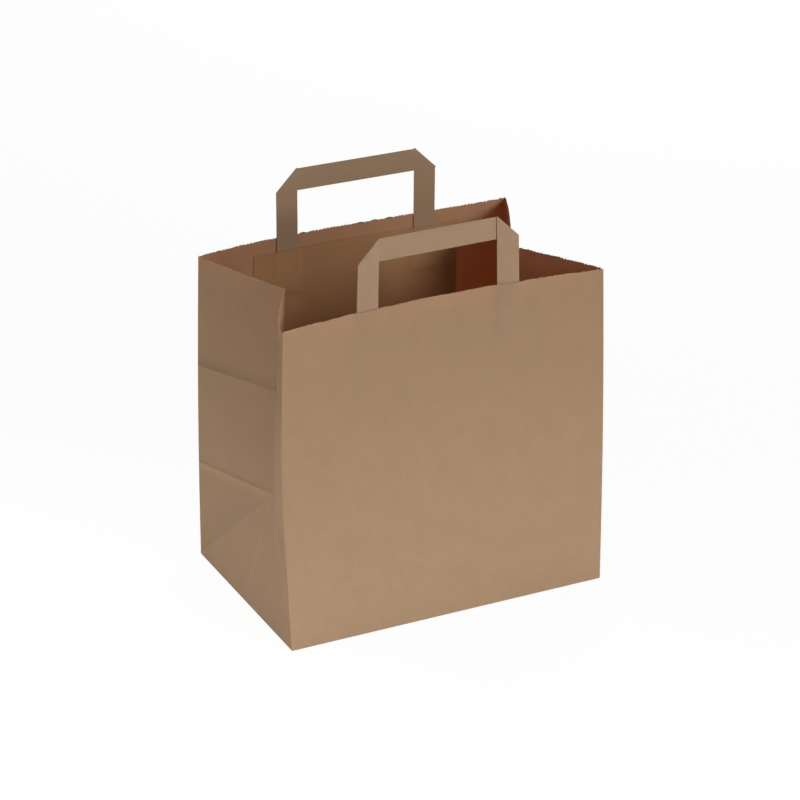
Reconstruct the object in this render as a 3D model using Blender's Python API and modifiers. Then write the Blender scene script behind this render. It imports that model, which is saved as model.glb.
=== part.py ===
"""A brown kraft paper carrier bag with two flat folded handles.

The bag is one pasted and folded sheet: a front and a back wall, a gusset on each side and a block
bottom. Each handle is a paper strip folded over at 45 degrees twice, with its legs pasted inside a
wall under a rectangular paper patch. Origin at the middle of the base, +Z up, front wall at -Y.
"""

import math

import bmesh
import bpy
from mathutils import Vector

MM = 0.001

# Bag
BAG_WIDTH = 260 * MM
BAG_DEPTH = 170 * MM
WALL_HEIGHT = 255 * MM
PAPER = 0.2 * MM
FRONT_LEAN = 9.7 * MM
FRONT_BOW = 11.0 * MM
BACK_LEAN_LEFT = 8.2 * MM
BACK_LEAN_RIGHT = 4.8 * MM
BACK_BOW = 5.3 * MM
BACK_BOW_SKEW = 0.9
CORNER_BOW = 1.2 * MM

# Gussets
FOOT_TILT = math.radians(14.9)
CREASE_TOP_INSET = 36 * MM
CREASE_BEND = 2.6 * MM
GUSSET_BULGE_FRONT_LEFT = 4.5 * MM
GUSSET_BULGE = 1.5 * MM
FOLD_MARK_ABOVE = 8 * MM
FOLD_MARK_DEPTH = 0.9 * MM
FOLD_MARK_REACH = 8 * MM

# Long lap seam, near the front wall's right edge
LAP_EDGE = 4.5 * MM
LAP_WIDTH = 15 * MM
LAP_STEP = 0.4 * MM
LAP_FADE = 20 * MM

# Block bottom
FLAP_REACH = 97.5 * MM
SEAM_GROOVE = 0.6 * MM
END_RIM = 0.8 * MM

# Handles
STRIP_WIDTH = 17.5 * MM
STRIP_THICKNESS = 0.6 * MM
HANDLE_WIDTH = 132 * MM
HANDLE_RISE = 53 * MM
FRONT_HANDLE_SHIFT = -2 * MM
BACK_HANDLE_SHIFT = 2.8 * MM
LEG_TUCK = 46 * MM
FOLD_GAP = 0.2 * MM
FOLD_STEPS = 6

# Patches
PATCH_WIDTH = 171 * MM
PATCH_HEIGHT = 70 * MM
PATCH_DROP = 11.5 * MM
PATCH_RAMP = 3 * MM
GLUE_GAP = 0.3 * MM
LEG_CLEARANCE = 0.5 * MM

HALF_WIDTH = BAG_WIDTH / 2
HALF_DEPTH = BAG_DEPTH / 2
FOLD_MARK_HEIGHT = BAG_DEPTH + FOLD_MARK_ABOVE
LEG_OUTER = HANDLE_WIDTH / 2
LEG_INNER = LEG_OUTER - STRIP_WIDTH

KRAFT = (0.38, 0.24, 0.14, 1)
KRAFT_HANDLE = (0.36, 0.23, 0.14, 1)
KRAFT_PATCH = (0.31, 0.19, 0.11, 1)


def material(name, colour, roughness):
    """A Principled paper material."""
    made = bpy.data.materials.new(name)
    made.use_nodes = True
    shader = made.node_tree.nodes["Principled BSDF"]
    shader.inputs["Base Color"].default_value = colour
    shader.inputs["Roughness"].default_value = roughness
    shader.inputs["Metallic"].default_value = 0
    return made


def add_object(name, mesh_data, collection, finish=None):
    """A named object in a collection, with its material."""
    made = bpy.data.objects.new(name, mesh_data)
    collection.objects.link(made)
    if finish:
        mesh_data.materials.append(finish)
    return made


def between(low, high, share):
    """The value a share of the way from low to high."""
    return low + (high - low) * share


def soft_step(share):
    """0 to 1 with level ends."""
    share = min(max(share, 0.0), 1.0)
    return share * share * (3 - 2 * share)


def raised(foot_y, top_y, height):
    """The y and z of a point at a height along a wall whose rim stands at top_y."""
    shift = (top_y - foot_y) * height / WALL_HEIGHT
    return foot_y + shift, math.sqrt(height * height - shift * shift)


def fold_mark(height):
    """How deep the marks of the flat-folded base press into the back of the bag."""
    depth = 0.0
    for centre in (HALF_DEPTH, FOLD_MARK_HEIGHT):
        depth += FOLD_MARK_DEPTH * max(0.0, 1 - abs(height - centre) / FOLD_MARK_REACH)
    return depth


def front_wall(x, height):
    """A point of the front wall's outer face."""
    bow = FRONT_BOW * (1 - (x / HALF_WIDTH) ** 2)
    y, z = raised(-HALF_DEPTH, -HALF_DEPTH + FRONT_LEAN + bow, height)
    return Vector((x, y, z))


def back_wall(x, height):
    """A point of the back wall's outer face, without its fold marks."""
    across = x / HALF_WIDTH
    lean = between(BACK_LEAN_LEFT, BACK_LEAN_RIGHT, (across + 1) / 2)
    bow = BACK_BOW * (1 - across * across) * (1 - BACK_BOW_SKEW * across)
    y, z = raised(HALF_DEPTH, HALF_DEPTH - lean + bow, height)
    return Vector((x, y, z))


def corner(side, front, height):
    """A point of one of the four upright corner folds, bowed a little outwards."""
    wall = front_wall if front else back_wall
    point = wall(side * HALF_WIDTH, height)
    point.x += side * CORNER_BOW * math.sin(math.pi * min(height / WALL_HEIGHT, 1))
    return point


def centre_crease(side, height):
    """A point of a gusset's centre crease, which is pushed in towards the bag's middle."""
    foot = min(height, HALF_DEPTH)
    inset = foot * math.sin(FOOT_TILT)
    z = foot * math.cos(FOOT_TILT)
    run = WALL_HEIGHT - HALF_DEPTH
    share = (height - foot) / run
    travel = CREASE_TOP_INSET - HALF_DEPTH * math.sin(FOOT_TILT)
    inset += travel * share + CREASE_BEND * math.sin(math.pi * share**0.6)
    z += share * math.sqrt(run * run - travel * travel)
    return Vector((side * (HALF_WIDTH - inset), 0, z))


def gusset(side, along, height):
    """A point of a gusset's outer face, along it from the front corner to the back corner."""
    front = along <= HALF_DEPTH
    reach = along if front else BAG_DEPTH - along
    if height <= reach:
        inset = height * math.sin(FOOT_TILT)
        return Vector((side * (HALF_WIDTH - inset), along - HALF_DEPTH, height * math.cos(FOOT_TILT)))
    if height <= HALF_DEPTH:
        apex = centre_crease(side, HALF_DEPTH) - corner(side, front, 0)
        point = corner(side, front, height - reach) + apex * reach / HALF_DEPTH
    else:
        point = corner(side, front, height).lerp(centre_crease(side, height), reach / HALF_DEPTH)
    share = reach / HALF_DEPTH
    rise = soft_step((height - HALF_DEPTH) / (WALL_HEIGHT - HALF_DEPTH))
    bulge = GUSSET_BULGE_FRONT_LEFT if front and side < 0 else GUSSET_BULGE
    swell = bulge * rise * math.sin(math.pi * share**0.6)
    point.x += side * swell
    if not front:
        point.x -= side * fold_mark(height) * min(1, share * 4)
    return point


def front_lap(x, height):
    """The front wall's outer face with the step down to the under ply of the lap seam."""
    point = front_wall(x, height)
    if x > HALF_WIDTH - LAP_EDGE - LAP_STEP / 2:
        point.y += PAPER * min(1, height / LAP_FADE)
    return point


def marked_back(x, height):
    """The back wall's outer face with its fold marks."""
    point = back_wall(x, height)
    point.y -= fold_mark(height) * min(1, (HALF_WIDTH - abs(x)) / (20 * MM))
    return point


def sheet(columns, rows, place):
    """A grid of paper, each of its points put where place(column, row) says, and its points."""
    grid = bmesh.new()
    grid.verts.layers.deform.verify()
    across, up = len(columns) - 1, len(rows) - 1
    bmesh.ops.create_grid(grid, x_segments=across, y_segments=up, size=1)
    points = {}
    for vertex in grid.verts:
        column = round((vertex.co.x + 1) / 2 * across)
        row = round((vertex.co.y + 1) / 2 * up)
        points[column, row] = vertex
    for (column, row), vertex in points.items():
        vertex.co = place(columns[column], rows[row])
    return grid, points


def finish_sheet(grid, name):
    """The grid as mesh data."""
    data = bpy.data.meshes.new(name)
    grid.to_mesh(data)
    grid.free()
    return data


def thicken(made, thickness, offset, group=""):
    """Gives a sheet its thickness."""
    solid = made.modifiers.new("thickness", "SOLIDIFY")
    solid.thickness = thickness
    solid.offset = offset
    solid.use_even_offset = True
    solid.use_quality_normals = True
    solid.vertex_group = group
    return solid


def evenly(low, high, count):
    """count + 1 values from low to high."""
    return [between(low, high, step / count) for step in range(count + 1)]


def gusset_steps():
    """Distances shared by the foot's rows and a half gusset's columns, so folds meet at points."""
    return evenly(0, HALF_DEPTH - FOLD_MARK_REACH, 4) + [HALF_DEPTH]


def body_rows():
    """Heights of the sheet's rows, with one on each level fold."""
    above = [
        HALF_DEPTH + FOLD_MARK_REACH,
        between(HALF_DEPTH, FOLD_MARK_HEIGHT, 0.5),
        FOLD_MARK_HEIGHT - FOLD_MARK_REACH,
        FOLD_MARK_HEIGHT,
        FOLD_MARK_HEIGHT + FOLD_MARK_REACH,
        between(FOLD_MARK_HEIGHT, WALL_HEIGHT, 0.5),
        WALL_HEIGHT,
    ]
    return gusset_steps() + above


def wall_columns(shift):
    """Places across a wall: its handle's legs, its patch's ends and some between."""
    half = [LEG_INNER / 2, LEG_INNER, LEG_OUTER, PATCH_WIDTH / 2]
    marks = [shift + x for x in [-x for x in reversed(half)] + [0.0] + half]
    left = [-HALF_WIDTH, between(-HALF_WIDTH, marks[0], 0.5)]
    right = [between(marks[-1], HALF_WIDTH, 0.5), HALF_WIDTH]
    return left + marks + right


def lap_columns():
    """Places across the front wall that bound the lap seam's two steps."""
    outer = HALF_WIDTH - LAP_EDGE
    inner = outer - LAP_WIDTH
    return [inner - LAP_STEP, inner, outer - LAP_STEP, outer]


def body_columns():
    """The walk round the bag: front wall, right gusset, back wall, left gusset."""
    steps = gusset_steps()
    round_gusset = steps + [BAG_DEPTH - step for step in reversed(steps[:-1])]
    front = sorted(wall_columns(FRONT_HANDLE_SHIFT) + lap_columns())
    back = wall_columns(BACK_HANDLE_SHIFT)
    walk = [("front", x) for x in front]
    walk += [("right", along) for along in round_gusset[1:]]
    walk += [("back", x) for x in reversed(back[:-1])]
    walk += [("left", along) for along in reversed(round_gusset[:-1])]
    return walk


def place_body(column, height):
    """Where a point of the bag's sheet lies once it is folded."""
    panel, along = column
    if panel == "front" and abs(along) < HALF_WIDTH:
        return front_lap(along, height) + Vector((0, 0, PAPER / 2))
    if panel == "back" and abs(along) < HALF_WIDTH:
        return marked_back(along, height) + Vector((0, 0, PAPER / 2))
    if panel in ("front", "back"):
        side = math.copysign(1, along)
        return corner(side, panel == "front", height) + Vector((0, 0, PAPER / 2))
    side = 1 if panel == "right" else -1
    return gusset(side, along, height) + Vector((0, 0, PAPER / 2))


def crease_diagonals(grid, points, columns, rows):
    """Splits the cells that the gussets' diagonal folds cross, along the folds."""
    row_of = {round(value / MM, 4): number for number, value in enumerate(rows)}
    creases = []
    for number, (panel, along) in enumerate(columns):
        if panel in ("front", "back"):
            if abs(along) < HALF_WIDTH:
                continue
            reach = 0.0
        else:
            reach = min(along, BAG_DEPTH - along)
        creases.append((number, row_of[round(reach / MM, 4)]))
    for (left, low), (right, high) in zip(creases, creases[1:]):
        if right != left + 1 or low == high:
            continue
        first, second = points[left, low], points[right, high]
        shared = [face for face in first.link_faces if second in face.verts]
        bmesh.utils.face_split(shared[0], first, second)


def make_walls(collection, finish):
    """The bag's walls and gussets, pleated from one sheet and thickened inwards."""
    columns, rows = body_columns(), body_rows()
    grid, points = sheet(columns, rows, place_body)
    crease_diagonals(grid, points, columns, rows)
    plies = grid.verts.layers.deform.verify()
    inner, outer = HALF_WIDTH - LAP_EDGE - LAP_WIDTH, HALF_WIDTH - LAP_EDGE
    for (column, _), vertex in points.items():
        panel, along = columns[column]
        doubled = panel == "front" and inner - LAP_STEP / 2 < along < outer - LAP_STEP / 2
        vertex[plies][0] = 1.0 if doubled else 0.5
    bmesh.ops.remove_doubles(grid, verts=grid.verts, dist=0.001 * MM)
    walls = add_object("bag_body", finish_sheet(grid, "bag_body"), collection, finish)
    walls.vertex_groups.new(name="plies")
    thicken(walls, 2 * PAPER, -1, "plies")
    return walls


def prism(name, outline, low, high, collection):
    """An upright prism over an outline, which adds to or cuts the base."""
    solid = bmesh.new()
    corners = [solid.verts.new((x, y, low)) for x, y in outline]
    solid.faces.new(corners)
    grown = bmesh.ops.extrude_face_region(solid, geom=list(solid.faces))["geom"]
    for part in grown:
        if isinstance(part, bmesh.types.BMVert):
            part.co.z = high
    bmesh.ops.recalc_face_normals(solid, faces=solid.faces)
    made = add_object(name, finish_sheet(solid, name), collection)
    made.hide_render = True
    made.display_type = "WIRE"
    return made


def rectangle(half_x, low_y, high_y):
    """A rectangle's corners, even about the middle across the bag."""
    return [(-half_x, low_y), (half_x, low_y), (half_x, high_y), (-half_x, high_y)]


def shape_base(walls, collection):
    """The block bottom: three pasted plies at its ends, one or two in its middle.

    The gussets' flaps fold in first and show inside. The two long flaps fold over them with ends
    at 45 degrees and lap along the middle, so that a triangle of each end flap shows from below.
    """
    lap = FLAP_REACH - HALF_DEPTH
    flap_end = HALF_WIDTH - FLAP_REACH
    inner = HALF_DEPTH - 1.5 * PAPER
    above = 3 * PAPER + MM
    triangle_x, triangle_y = HALF_WIDTH - END_RIM, HALF_DEPTH - 2 * END_RIM
    apex = HALF_WIDTH - HALF_DEPTH + END_RIM
    seam = [(flap_end + lap - END_RIM, END_RIM), (flap_end, lap)]
    bend = lap + SEAM_GROOVE
    groove = [(-x, y) for x, y in seam] + seam[::-1]
    groove += [(x + SEAM_GROOVE / 2, y + SEAM_GROOVE) for x, y in seam]
    groove += [(-x - SEAM_GROOVE / 2, y + SEAM_GROOVE) for x, y in seam[::-1]]
    steps = [
        ("UNION", prism("base", rectangle(HALF_WIDTH - PAPER, -HALF_DEPTH + PAPER / 2,
                                          HALF_DEPTH - PAPER / 2), 0, 3 * PAPER, collection)),
        ("DIFFERENCE", prism("between_end_flaps", rectangle(flap_end, -inner, inner),
                             2 * PAPER, above, collection)),
        ("DIFFERENCE", prism("front_flap_inside", rectangle(flap_end - PAPER, -inner + PAPER, -lap),
                             PAPER, above, collection)),
        ("DIFFERENCE", prism("back_flap_inside", rectangle(flap_end - PAPER, bend + 2 * SEAM_GROOVE,
                             inner - PAPER), PAPER, above, collection)),
        ("DIFFERENCE", prism("seam_groove", groove, -MM, PAPER, collection)),
    ]
    for end, word in ((-1, "left"), (1, "right")):
        outline = [(end * triangle_x, -triangle_y), (end * triangle_x, triangle_y), (end * apex, 0)]
        recess = prism(f"end_recess_{word}", outline, -MM, 2 * PAPER, collection)
        steps.append(("DIFFERENCE", recess))
    for operation, tool in steps:
        change = walls.modifiers.new(tool.name, "BOOLEAN")
        change.operation = operation
        change.solver = "EXACT"
        change.object = tool


def strip_point(wall, shift, inward, x, height, depth):
    """A point inside a wall: depth is measured inwards from the wall's inner face.

    Above the rim the strip stands upright, and between a handle's legs it runs straight, whatever
    the wall's lean and bow.
    """
    along = min(height, WALL_HEIGHT)
    if abs(x) < LEG_INNER and height > WALL_HEIGHT:
        share = (x + LEG_INNER) / (2 * LEG_INNER)
        point = wall(shift - LEG_INNER, along).lerp(wall(shift + LEG_INNER, along), share)
    else:
        point = wall(shift + x, along)
    point.y += inward * (PAPER + depth)
    point.z += height - along
    return point


def make_handle(name, wall, shift, inward, collection, finish):
    """A handle: leg, 45 degree fold, grip, 45 degree fold, leg, in one strip.

    It is drawn flat, with y as depth from the wall, and then laid against the wall.
    """
    top = WALL_HEIGHT + HANDLE_RISE
    shoulder = top - STRIP_WIDTH
    leg_depth = GLUE_GAP + STRIP_THICKNESS / 2
    bend = (STRIP_THICKNESS + FOLD_GAP) / 2
    strip = bmesh.new()
    folded = []
    for end in (-1, 1):
        outer = strip.verts.new((end * LEG_OUTER, leg_depth, WALL_HEIGHT - LEG_TUCK))
        inner = strip.verts.new((end * LEG_INNER, leg_depth, WALL_HEIGHT - LEG_TUCK))
        foot = strip.edges.new((outer, inner))
        grown = bmesh.ops.extrude_edge_only(strip, edges=[foot])["geom"]
        for part in grown:
            if isinstance(part, bmesh.types.BMVert):
                part.co.z = shoulder if abs(part.co.x) > LEG_OUTER - STRIP_WIDTH / 2 else top
        chamfer = [part for part in grown if isinstance(part, bmesh.types.BMEdge)]
        chamfer = [edge for edge in chamfer if min(v.co.z for v in edge.verts) > WALL_HEIGHT]
        turned = bmesh.ops.spin(
            strip,
            geom=chamfer + list(chamfer[0].verts),
            cent=(end * LEG_OUTER, leg_depth + bend, shoulder),
            axis=Vector((-1, 0, end)).normalized(),
            angle=math.pi,
            steps=FOLD_STEPS,
        )["geom_last"]
        folded += [part for part in turned if isinstance(part, bmesh.types.BMEdge)]
    bmesh.ops.bridge_loops(strip, edges=folded)
    long_edges = [
        edge
        for edge in strip.edges
        if abs(edge.verts[0].co.z - edge.verts[1].co.z) < 0.01 * MM
        and edge.calc_length() > STRIP_WIDTH * 2
    ]
    bmesh.ops.subdivide_edges(strip, edges=long_edges, cuts=5)
    upright = [
        edge
        for edge in strip.edges
        if abs(edge.verts[0].co.x - edge.verts[1].co.x) < 0.01 * MM and edge.calc_length() > STRIP_WIDTH * 2
    ]
    bmesh.ops.subdivide_edges(strip, edges=upright, cuts=2)
    bmesh.ops.bisect_plane(
        strip,
        geom=list(strip.verts) + list(strip.edges) + list(strip.faces),
        dist=0.01 * MM,
        plane_co=(0, 0, WALL_HEIGHT),
        plane_no=(0, 0, 1),
    )
    bmesh.ops.recalc_face_normals(strip, faces=strip.faces)
    for vertex in strip.verts:
        x, depth, height = vertex.co
        vertex.co = strip_point(wall, shift, inward, x, height, depth)
    handle = add_object(name, finish_sheet(strip, name), collection, finish)
    thicken(handle, STRIP_THICKNESS, 0)
    return handle


def make_patch(name, wall, shift, inward, collection, finish):
    """A paper rectangle pasted over a handle's legs, raised where it steps over them."""
    rise = STRIP_THICKNESS + GLUE_GAP
    near = LEG_CLEARANCE
    half = [
        LEG_INNER / 2,
        LEG_INNER - near - PATCH_RAMP,
        LEG_INNER - near,
        LEG_INNER,
        LEG_OUTER,
        LEG_OUTER + near,
        LEG_OUTER + near + PATCH_RAMP,
        PATCH_WIDTH / 2,
    ]
    columns = [-x for x in reversed(half)] + [0.0] + half
    top = WALL_HEIGHT - PATCH_DROP
    leg_end = WALL_HEIGHT - LEG_TUCK
    rows = [top - PATCH_HEIGHT, leg_end - near - PATCH_RAMP, leg_end - near, top]
    mark = [FOLD_MARK_HEIGHT - FOLD_MARK_REACH, FOLD_MARK_HEIGHT, FOLD_MARK_HEIGHT + FOLD_MARK_REACH]
    rows = sorted(rows + [height for height in mark if rows[0] < height < top])

    def place(x, height):
        over_leg = LEG_INNER - near * 1.5 < abs(x) < LEG_OUTER + near * 1.5 and height > leg_end - near * 1.5
        depth = GLUE_GAP + PAPER / 2 + (rise if over_leg else 0)
        point = wall(shift + x, height)
        point.y += inward * (PAPER + depth)
        return point

    grid, _ = sheet(columns, rows, place)
    patch = add_object(name, finish_sheet(grid, name), collection, finish)
    thicken(patch, PAPER, 0)
    return patch


def main():
    for old in list(bpy.data.objects):
        bpy.data.objects.remove(old)
    scene = bpy.context.scene
    bag = bpy.data.collections.new("paper_carrier_bag")
    cutters = bpy.data.collections.new("base_tools")
    scene.collection.children.link(bag)
    scene.collection.children.link(cutters)

    kraft = material("kraft_paper", KRAFT, 0.85)
    kraft_handle = material("kraft_handle", KRAFT_HANDLE, 0.8)
    kraft_patch = material("kraft_patch", KRAFT_PATCH, 0.85)

    walls = make_walls(bag, kraft)
    shape_base(walls, cutters)
    make_handle("handle_front", front_wall, FRONT_HANDLE_SHIFT, 1, bag, kraft_handle)
    make_handle("handle_back", back_wall, BACK_HANDLE_SHIFT, -1, bag, kraft_handle)
    make_patch("patch_front", front_wall, FRONT_HANDLE_SHIFT, 1, bag, kraft_patch)
    make_patch("patch_back", marked_back, BACK_HANDLE_SHIFT, -1, bag, kraft_patch)


main()
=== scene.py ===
"""A brown kraft paper carrier bag: its folded sheets, its papers and its studio."""

import math

import bmesh
import bpy
from bpy.props import FloatProperty, FloatVectorProperty, PointerProperty
from mathutils import Euler, Matrix, Vector, noise


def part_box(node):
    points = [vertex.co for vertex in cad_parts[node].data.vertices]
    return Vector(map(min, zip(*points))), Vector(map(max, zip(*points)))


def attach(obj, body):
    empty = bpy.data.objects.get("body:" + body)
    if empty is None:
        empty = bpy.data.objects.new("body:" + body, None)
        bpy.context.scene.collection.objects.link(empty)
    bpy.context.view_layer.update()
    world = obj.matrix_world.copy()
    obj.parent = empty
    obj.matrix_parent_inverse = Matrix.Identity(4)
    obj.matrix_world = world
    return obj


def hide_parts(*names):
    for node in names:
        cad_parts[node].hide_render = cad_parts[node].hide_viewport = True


bl_info = {
    "name": "Kraft Carrier Bag",
    "version": (1, 0, 0),
    "blender": (4, 5, 0),
    "location": "View3D > Sidebar > Paper Bag",
    "description": "Folds a kraft paper carrier bag with flat handles and sets its studio",
    "category": "Object",
}

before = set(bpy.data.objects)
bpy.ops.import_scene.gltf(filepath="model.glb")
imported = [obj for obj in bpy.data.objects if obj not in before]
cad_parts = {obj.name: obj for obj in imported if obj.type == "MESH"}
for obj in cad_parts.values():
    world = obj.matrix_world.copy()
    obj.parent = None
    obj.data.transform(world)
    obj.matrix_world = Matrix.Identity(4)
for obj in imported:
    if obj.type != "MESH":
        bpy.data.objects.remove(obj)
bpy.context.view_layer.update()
BODY_LOW, BODY_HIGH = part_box("bag_body")
MM = 0.001

# Points closer together than this are one
SAME_PLACE = 1e-7
# A fold with a smaller radius than this is a plain crease
LEAST_RADIUS = 0.3 * MM
# Lengths over which the paper settles at a fold, a corner, the foot and the rim
FOLD_CALM = 20 * MM
CORNER_CALM = 25 * MM
FOOT_CALM = 40 * MM
RIM_CALM = 16 * MM
# Sizes of the slow ripples of each panel
FRONT_RIPPLE = 62 * MM
BACK_RIPPLE = 58 * MM
GUSSET_RIPPLE = 45 * MM
# How far the push of a handle's leg is felt beside it and below the rim
PUSH_REACH = 17 * MM
PUSH_DROP = 45 * MM
# Share of the way into a gusset where its fold marks lie at their stated heights
MARK_LEVEL = 0.57
# Share of the soft strip's swell that also turns it to the front
STRIP_TURN = 0.4
# Width of the step at each edge of the lap seam
LAP_STEP = 0.3 * MM
# Distance between the teeth of the rim and of the patches
RIM_PITCH = 2.4 * MM
PATCH_PITCH = 2 * MM
# Room between the bottom's flaps and the folds around them
FLAP_ROOM = 0.05 * MM
# A distance from the folds that marks paper without any
FAR_FROM_FOLDS = -50 * MM
# Colours of the flecks in the kraft
PALE_FLECK = (0.75, 0.6, 0.42, 1)
DARK_FLECK = (0.13, 0.07, 0.035, 1)


def length(label, description, millimetres):
    """A length that a user may change."""
    return FloatProperty(
        name=label, description=description, default=millimetres * MM, unit="LENGTH"
    )


def angle(label, description, degrees):
    """An angle that a user may change."""
    return FloatProperty(
        name=label, description=description, default=math.radians(degrees), subtype="ANGLE"
    )


def power(label, description, value):
    """A light's power that a user may change."""
    return FloatProperty(name=label, description=description, default=value, min=0)


def colour(label, description, value):
    """A colour that a user may change."""
    return FloatVectorProperty(
        name=label, description=description, default=value, size=3, min=0, max=1, subtype="COLOR"
    )


class BagSizes(bpy.types.PropertyGroup):
    """Sizes of the folded bag."""

    width: length("Width", "Width of the front and back walls", 260)
    depth: length("Depth", "Depth of the gussets laid flat", (BODY_HIGH.y - BODY_LOW.y) / MM)
    height: length("Height", "Height of the walls from fold to cut rim", 255)
    paper: length("Paper", "Thickness of one ply", 0.2)
    front_lean: length("Front lean", "How far the front wall's corners lean in at the rim", 9.7)
    front_bow: length("Front bow", "How far the front rim bows in between its corners", 11)
    back_lean_left: length("Back lean left", "How far the back wall's left corner leans in", 8.2)
    back_lean_right: length("Back lean right", "How far the back wall's right corner leans in", 4.8)
    back_bow: length("Back bow", "How far the back rim bows out between its corners", 5.3)
    corner_bow: length("Corner bow", "How far the upright folds bow outwards", 1.2)
    crease_inset: length("Crease inset", "How far the gussets' centre folds go in at the rim", 36)
    crease_bend: length("Crease bend", "How far the centre folds bend inwards", 2.6)
    soft_bow: length("Soft bow", "How far the front left fold bows outwards", 3.4)
    strip_edge: length("Strip edge", "Width of the soft strip beside the front left fold", 7.71)
    strip_swell: length("Strip swell", "How far the soft strip stands out", 7)
    fold_radius: length("Fold radius", "Largest rounding of the front left fold", 2)
    soft_bulge: length("Soft bulge", "Outward swell of the left gusset's front half", 4.5)
    bulge: length("Bulge", "Outward swell of the other half gussets", 1.5)
    foot_tilt: angle("Foot tilt", "Angle that the gussets' foot triangles lean in by", 14.9)
    imprint: length("Imprint height", "Height of the mark that the flat-folded base leaves", 167.5)
    mark_rise: length("Mark rise", "How far the fold marks rise towards the centre folds", 7)
    mark_depth: length("Mark depth", "Depth of the level fold marks", 0.9)
    mark_reach: length("Mark reach", "Half the width of the level fold marks", 8)
    lap_edge: length("Lap edge", "Distance of the lap seam from the front wall's right fold", 4.5)
    lap_width: length("Lap width", "Width of the long lap seam", 15)
    flap_reach: length("Flap reach", "Length of the bottom's flaps", 97.5)
    tooth: length("Tooth depth", "Depth of the saw cut along the rim", 1.45)
    ripple: length("Ripple", "Largest ripple of the walls", 0.45)
    leg_push: length("Leg push", "How far the handles' legs push the rim outwards", 0.9)
    leg_print: length("Leg print", "How far the handles' legs show through the walls", 0.3)


class HandleSizes(bpy.types.PropertyGroup):
    """Sizes of the folded handles and the sheets pasted over their legs."""

    strip: length("Strip width", "Width of a handle's strip", 17.5)
    thickness: length("Strip thickness", "Thickness of the strip's pressed plies", 0.6)
    span: length("Span", "Width of a handle over its legs", 132)
    rise: length("Rise", "Height of a handle above the rim", 53)
    front_shift: length("Front shift", "How far the front handle stands off the middle", -2)
    back_shift: length("Back shift", "How far the back handle stands off the middle", 2.8)
    tip: length("Tip", "How much higher the front grip's left end stands than its middle", 1.4)
    twist: length("Twist", "How far the front grip's ends lean out and in at its top", 2.8)
    tuck: length("Tuck", "Length of a leg below the rim", 46)
    gap: length("Fold gap", "Room between the strip's layers at a corner", 0.2)
    glue: length("Glue gap", "Room between pasted layers", 0.3)
    patch_width: length("Patch width", "Width of a pasted sheet", 171)
    patch_height: length("Patch height", "Height of a pasted sheet", 70)
    patch_drop: length("Patch drop", "Distance of a pasted sheet's top from the rim", 11.5)
    patch_tooth: length("Patch tooth depth", "Depth of the saw cut along a pasted sheet", 1.16)


class PaperColours(bpy.types.PropertyGroup):
    """Colours of the papers."""

    pale: colour("Kraft, pale", "Paler fibres of the bag's sheet", (0.482, 0.340, 0.212))
    deep: colour("Kraft, deep", "Darker fibres of the bag's sheet", (0.368, 0.244, 0.142))
    glow: colour("Light through", "Colour of the light that comes through one ply", (0.95, 0.36, 0.06))
    handle_pale: colour("Handle, pale", "Paler fibres of the handles' strips", (0.372, 0.250, 0.158))
    handle_deep: colour("Handle, deep", "Darker fibres of the handles' strips", (0.310, 0.202, 0.122))
    patch_pale: colour("Patch, pale", "Paler fibres of the pasted sheets", (0.440, 0.246, 0.118))
    patch_deep: colour("Patch, deep", "Darker fibres of the pasted sheets", (0.352, 0.190, 0.086))


class StudioSettings(bpy.types.PropertyGroup):
    """Light and camera."""

    sky: power("Sky", "Strength of the white surround", 0.16)
    key: power("Key light", "Power of the light at the front", 36)
    back: power("Back light", "Power of the light behind the bag", 40)
    pool_front: power("Front floor light", "Power of the light on the floor in front", 0.9)
    pool_left: power("Left floor light", "Power of the light on the floor at the left", 1.85)
    azimuth: angle("Azimuth", "Angle of the view round the bag, from its front", -26.38)
    elevation: angle("Elevation", "Angle of the view above the floor", 25.51)
    roll: angle("Roll", "Angle that the picture is turned by", 0.27)
    place: FloatVectorProperty(
        name="Camera place",
        description="Where the camera stands",
        default=(-1.0409, -2.0989, 1.2598),
        subtype="TRANSLATION",
        unit="LENGTH",
    )
    lens: FloatProperty(
        name="Lens", description="Focal length of the camera", default=154.65, unit="CAMERA"
    )


def between(low, high, share):
    """The value a share of the way from low to high."""
    return low + (high - low) * share


def soft_step(share):
    """0 to 1 with level ends."""
    share = min(max(share, 0.0), 1.0)
    return share * share * (3 - 2 * share)


def grows(value, start, reach):
    """0 up to the start and 1 a reach further on, with level ends."""
    return soft_step((value - start) / reach)


def early_swell(share):
    """0 at both ends and fullest a third of the way along."""
    return math.sin(math.pi * share**0.6)


def evenly(low, high, count):
    """count + 1 values from low to high."""
    return [between(low, high, step / count) for step in range(count + 1)]


def wander(x, y, size, seed):
    """A smooth chance value from -1 to 1 that changes over the given size."""
    return noise.noise(Vector((x / size, y / size, seed)))


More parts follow.
